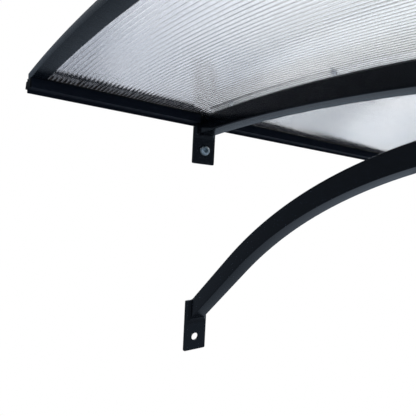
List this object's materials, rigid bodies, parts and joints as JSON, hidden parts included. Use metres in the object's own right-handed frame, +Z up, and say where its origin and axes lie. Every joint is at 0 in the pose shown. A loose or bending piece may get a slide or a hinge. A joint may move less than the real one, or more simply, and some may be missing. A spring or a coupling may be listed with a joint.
{
  "type": "polycarbonate door canopy",
  "caption": "Arched twin-wall polycarbonate door canopy in dark edge trims on welded square-tube wall brackets with curved braces.",
  "frame": {"origin": "middle of the centre wall rail's flat back face, on the wall", "axes": "+X along the wall, +Y into the wall, +Z up; the canopy reaches out along -Y"},
  "size_m": [1.5046, 0.9377, 0.4857],
  "materials": {
    "powder_coat": "glossy dark grey powder coat on steel",
    "polycarbonate": "clear polycarbonate: the twin-wall sheet, milky to look through for its fine flutes, and the plain strips that hold it down",
    "trim_aluminium": "satin dark grey coated aluminium",
    "zinc": "bright zinc plating",
    "seal_rubber": "matt black foam tape and gasket",
    "cap_plastic": "matt black moulded plastic"
  },
  "bodies": {
    "root": {"flashing_centre": "trim_aluminium", "flashing_left": "trim_aluminium", "flashing_right": "trim_aluminium", "front_trim": "trim_aluminium", "left_arm_plug": "cap_plastic", "left_arm_tape": "seal_rubber", "left_brace": "powder_coat", "left_clamp_strip": "polycarbonate", "left_lower_plate": "powder_coat", "left_lower_weld": "powder_coat", "left_rail_cap": "cap_plastic", "left_sheet_screw_1": "zinc", "left_sheet_screw_2": "zinc", "left_sheet_screw_3": "zinc", "left_sheet_screw_4": "zinc", "left_side_trim": "trim_aluminium", "left_upper_arm": "powder_coat", "left_upper_plate": "powder_coat", "left_upper_weld": "powder_coat", "left_wall_bolt": "zinc", "rail_gasket_centre": "seal_rubber", "rail_gasket_left": "seal_rubber", "rail_gasket_right": "seal_rubber", "rail_screw_centre_1": "zinc", "rail_screw_centre_2": "zinc", "rail_screw_left_1": "zinc", "rail_screw_left_2": "zinc", "rail_screw_right_1": "zinc", "rail_screw_right_2": "zinc", "right_arm_plug": "cap_plastic", "right_arm_tape": "seal_rubber", "right_brace": "powder_coat", "right_clamp_strip": "polycarbonate", "right_lower_plate": "powder_coat", "right_lower_weld": "powder_coat", "right_rail_cap": "cap_plastic", "right_sheet_screw_1": "zinc", "right_sheet_screw_2": "zinc", "right_sheet_screw_3": "zinc", "right_sheet_screw_4": "zinc", "right_side_trim": "trim_aluminium", "right_upper_arm": "powder_coat", "right_upper_plate": "powder_coat", "right_upper_weld": "powder_coat", "right_wall_bolt": "zinc", "twin_wall_sheet": "polycarbonate", "wall_rail_centre": "trim_aluminium", "wall_rail_left": "trim_aluminium", "wall_rail_right": "trim_aluminium"}
  },
  "joints": []
}
